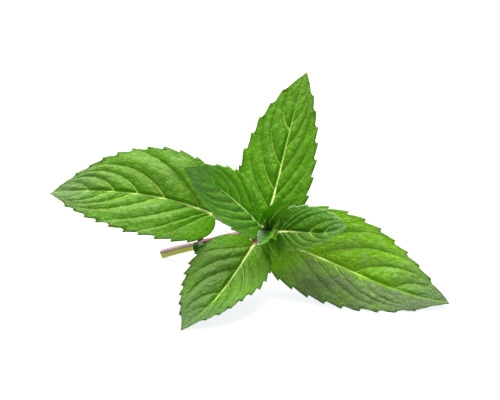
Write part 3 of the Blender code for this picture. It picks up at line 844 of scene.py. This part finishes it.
def make_stem():
    centre, radius, walked = stem_stations()
    angle = 2 * np.pi * np.arange(STEM_RING) / STEM_RING
    section = stem_section(angle)
    upward = np.array([0.0, 0.0, 1.0])
    rings, facing_up = [], []
    for i, point in enumerate(centre):
        ahead = unit(centre[min(i + 1, len(centre) - 1)] - centre[max(i - 1, 0)])
        upward = unit(upward - ahead * upward.dot(ahead))
        spoke = np.cross(ahead, upward) * np.cos(angle)[:, None] + upward * np.sin(angle)[:, None]
        reach = stem_reach(angle, section, point, radius[i], walked[i])
        rings.append(point + spoke * reach[:, None])
        facing_up.append(spoke[:, 2])
    face = cut_face(angle, centre[0], rings[0], unit(centre[1] - centre[0]))
    rings = np.array(face + rings)
    ends = [rings[0].mean(0), centre[-1] + unit(centre[-1] - centre[-2]) * 0.2]

    def per_row(rows):
        return np.concatenate([np.repeat(rows, STEM_RING), [rows[0], rows[-1]]])

    upper = np.concatenate([np.tile(facing_up[0], len(face)), np.ravel(facing_up)]) * 0.5 + 0.5
    attributes = {
        "from_cut": per_row(np.concatenate([np.zeros(len(face)), walked])),
        "cut": per_row(np.concatenate([np.linspace(1.0, 0.3, len(face)), np.zeros(len(walked))])),
        "turn_x": np.concatenate([np.tile(np.cos(angle), len(rings)), [0, 0]]),
        "turn_y": np.concatenate([np.tile(np.sin(angle), len(rings)), [0, 0]]),
        "upper": np.concatenate([upper, [0.5, 0.5]]),
    }
    piece = mesh_object("stem_body", in_metres(rings, ends), skin(len(rings), STEM_RING), attributes)
    install(piece, "stem", stem_material())


def stem_material():
    """Mauve above and yellow-green below up to the bare node, maroon there, dull red and green beyond it."""
    n = Nodes("stem_skin")
    from_cut, upper, cut = n.attribute("from_cut"), n.attribute("upper"), n.attribute("cut")
    along_streak = n.product(from_cut, 0.12)
    streak = n.noise_at((n.attribute("turn_x"), n.attribute("turn_y"), along_streak), 2.6, 4.0)
    edge = n.math("ADD", upper, n.product(n.math("SUBTRACT", streak, 0.5), 0.5))
    young = n.mix(n.smooth(edge, 0.52, 0.74), (0.38, 0.41, 0.045), (0.235, 0.165, 0.165))
    old = n.mix(n.smooth(edge, 0.25, 0.75), (0.125, 0.034, 0.031), (0.287, 0.15, 0.156))
    colour = n.mix(n.smooth(from_cut, 12.5, 16.0), young, old)
    at_node = n.product(n.smooth(from_cut, 14.0, 16.5), n.smooth(from_cut, 19.0, 23.0, 1.0, 0.0))
    colour = n.mix(n.product(at_node, 0.75), colour, (0.106, 0.022, 0.025))
    colour = n.mix(n.smooth(from_cut, 31.0, 34.0), colour, (0.025, 0.075, 0.003))
    colour = n.mix(n.smooth(streak, 0.55, 0.75, 0.0, 0.35), colour, (0.375, 0.3, 0.237))
    specks = n.smooth(n.noise(0.28, 2.0), 0.62, 0.74, 0.0, 0.5)
    colour = n.mix(specks, colour, (0.088, 0.038, 0.031))
    pith = n.mix(n.smooth(n.noise(0.35, 3.0), 0.35, 0.65), (0.312, 0.344, 0.075), (0.425, 0.437, 0.212))
    pith = n.mix(n.smooth(cut, 0.3, 0.55, 0.6, 0.0), pith, (0.212, 0.187, 0.031))
    colour = n.mix(n.smooth(cut, 0.0, 0.3), colour, pith)
    ridges = n.bump(streak, 0.25, 0.7)
    grain = n.bump(n.noise(0.22, 3.0), 0.05, 0.6, after=ridges)
    n.shader.inputs["Specular IOR Level"].default_value = 0.3
    return n.finish(Base_Color=colour, Roughness=n.smooth(streak, 0.3, 0.7, 0.42, 0.6), Normal=grain)


def around(centre, direction, rows, ring_count):
    """Rings round an axis. Each row is its place along the axis and a function that gives its radii."""
    first = unit(np.cross(direction, np.array([0.0, 0.0, 1.0])))
    second = np.cross(direction, first)
    angle = 2 * np.pi * np.arange(ring_count) / ring_count
    spoke = first * np.cos(angle)[:, None] + second * np.sin(angle)[:, None]
    rings = [centre + direction * place + spoke * radii(angle)[:, None] for place, radii in rows]
    ends = [rings[0].mean(0), rings[-1].mean(0)]
    return in_metres(rings, ends)


def make_stub():
    """The stub of a plucked leaf's stalk: flared where it leaves the node, with a hollow scar on top."""
    def ribbed(radius):
        return lambda angle: radius * (1 + 0.07 * np.cos(5 * angle) + 0.03 * np.cos(11 * angle))

    body = [(-STUB_ROOT + 0.13 * i, 1.0 - 0.4 * step(i, 0, 6) - 0.02 * i) for i in range(15)]
    below_top = ((0.02, 0.42), (0.1, 0.34), (0.2, 0.22), (0.16, 0.1))
    scar_rings = [(STUB_LENGTH - depth, radius) for depth, radius in below_top]
    rows = [(place, ribbed(radius)) for place, radius in body + scar_rings]
    scar = [0.0] * len(body) + [0.3, 0.7, 1.0, 1.0]
    height = [place for place, _ in rows]
    attributes = {
        "scar": np.concatenate([np.repeat(scar, STUB_RING), [0.0, 1.0]]),
        "height": np.concatenate([np.repeat(height, STUB_RING), [height[0], height[-1]]]),
    }
    points = around(STUB_BASE, STUB_DIRECTION, rows, STUB_RING)
    piece = mesh_object("stub_body", points, skin(len(rows), STUB_RING), attributes)
    n = Nodes("stub_skin")
    colour = n.mix(n.smooth(n.attribute("height"), -0.4, 1.0), (0.25, 0.106, 0.106), (0.362, 0.237, 0.187))
    colour = n.mix(n.smooth(n.noise(0.3, 3.0), 0.4, 0.7, 0.0, 0.6), colour, (0.262, 0.137, 0.137))
    colour = n.mix(n.attribute("scar"), colour, (0.156, 0.081, 0.031))
    grain = n.bump(n.noise(0.2, 3.0), 0.08, 0.8)
    n.shader.inputs["Specular IOR Level"].default_value = 0.3
    install(piece, "stalk_stub", n.finish(Base_Color=colour, Roughness=0.6, Normal=grain))


def make_bud():
    """The growing point: an egg of folded scales in crossed pairs, each row's tips over the next."""
    share = np.linspace(0.01, 0.99, BUD_ROWS)

    def folded(row_share):
        def radii(angle):
            pair = row_share * SCALE_PAIRS
            place = pair + 0.45 * np.cos(2 * angle) * np.cos(np.pi * math.floor(pair))
            lip = place - np.floor(place)
            girth = math.sin(math.pi * row_share) ** 0.7 * (1 - 0.3 * row_share)
            return 0.5 * BUD_WIDTH * girth * (1 + 0.16 * lip)
        return radii

    rows = [((s - 0.5) * BUD_LENGTH, folded(s)) for s in share]
    points = around(BUD_CENTRE, BUD_DIRECTION, rows, BUD_RING)
    height = np.concatenate([np.repeat(share, BUD_RING), [0.0, 1.0]])
    piece = mesh_object("bud_scales", points, skin(BUD_ROWS, BUD_RING), {"height": height})
    n = Nodes("bud_skin")
    # the bud is real, but its near black-green, darkest at its foot, is painted shade of the hollow between
    # the young leaves that it fills
    colour = n.mix(n.smooth(n.attribute("height"), 0.2, 1.0), (0.005, 0.025, 0.001), (0.019, 0.069, 0.004))
    colour = n.mix(n.smooth(n.noise(0.15, 3.0), 0.5, 0.7, 0.0, 0.3), colour, (0.038, 0.1, 0.012))
    grain = n.bump(n.noise(0.12, 3.0), 0.04, 0.7)
    n.shader.inputs["Specular IOR Level"].default_value = 0.2
    install(piece, "tip_bud", n.finish(Base_Color=colour, Roughness=0.5, Normal=grain))


# ---------------------------------------------------------------- surroundings
AIM_FROM_MIDDLE = Vector((1.8, 8.4, -4.5)) * MM
CAMERA_ELEVATION = math.radians(22)
CAMERA_DISTANCE = 397 * MM
LENS, SENSOR = 100, 36  # millimetres on the camera
FLOOR_SIZE = 3.0
PAPER = (0.165, 0.135, 0.115), (0.175, 0.145, 0.125)
PAPER_GLOW, PAPER_GLOW_COLOUR = 0.86, (0.94, 0.98, 1.0)
ROOM_LIGHT = 0.84
LAMP_PLACE, LAMP_SIZE, LAMP_POWER = Vector((-0.05, 0.25, 0.65)), 0.7, 14.5


def aim(thing, target):
    thing.rotation_euler = (target - thing.location).to_track_quat("-Z", "Y").to_euler()


def make_camera():
    camera = bpy.data.objects.new("camera", bpy.data.cameras.new("camera"))
    bpy.context.scene.collection.objects.link(camera)
    target = SOLIDS_MIDDLE + AIM_FROM_MIDDLE
    back = Vector((0, -math.cos(CAMERA_ELEVATION), math.sin(CAMERA_ELEVATION)))
    camera.location = target + back * CAMERA_DISTANCE
    aim(camera, target)
    camera.data.lens = LENS
    camera.data.sensor_width = SENSOR
    camera.data.clip_start = 10 * MM
    bpy.context.scene.camera = camera


def make_lamp():
    lamp = bpy.data.lights.new("overhead", "AREA")
    lamp.shape = "DISK"
    lamp.size = LAMP_SIZE
    lamp.energy = LAMP_POWER
    light = bpy.data.objects.new("overhead", lamp)
    bpy.context.scene.collection.objects.link(light)
    light.location = SOLIDS_MIDDLE + LAMP_PLACE
    aim(light, SOLIDS_MIDDLE)


def make_floor():
    bpy.ops.mesh.primitive_plane_add(size=FLOOR_SIZE, location=(0, 0, cad_box[0].z))
    floor = bpy.context.object
    floor.name = "floor"
    n = Nodes("floor_paper")
    n.shader.inputs["Emission Strength"].default_value = PAPER_GLOW
    paper = n.mix(n.noise(2.0), *PAPER)
    floor.data.materials.append(n.finish(Base_Color=paper, Roughness=0.9, Emission_Color=PAPER_GLOW_COLOUR))


def make_room():
    world = bpy.data.worlds.new("white_room")
    world.use_nodes = True
    background = world.node_tree.nodes["Background"]
    background.inputs["Color"].default_value = (1.0, 1.0, 1.0, 1.0)
    background.inputs["Strength"].default_value = ROOM_LIGHT
    bpy.context.scene.world = world
    bpy.context.scene.view_settings.view_transform = "Standard"


make_camera()
make_leaves()
make_stem()
make_stub()
make_bud()
make_floor()
make_room()
make_lamp()
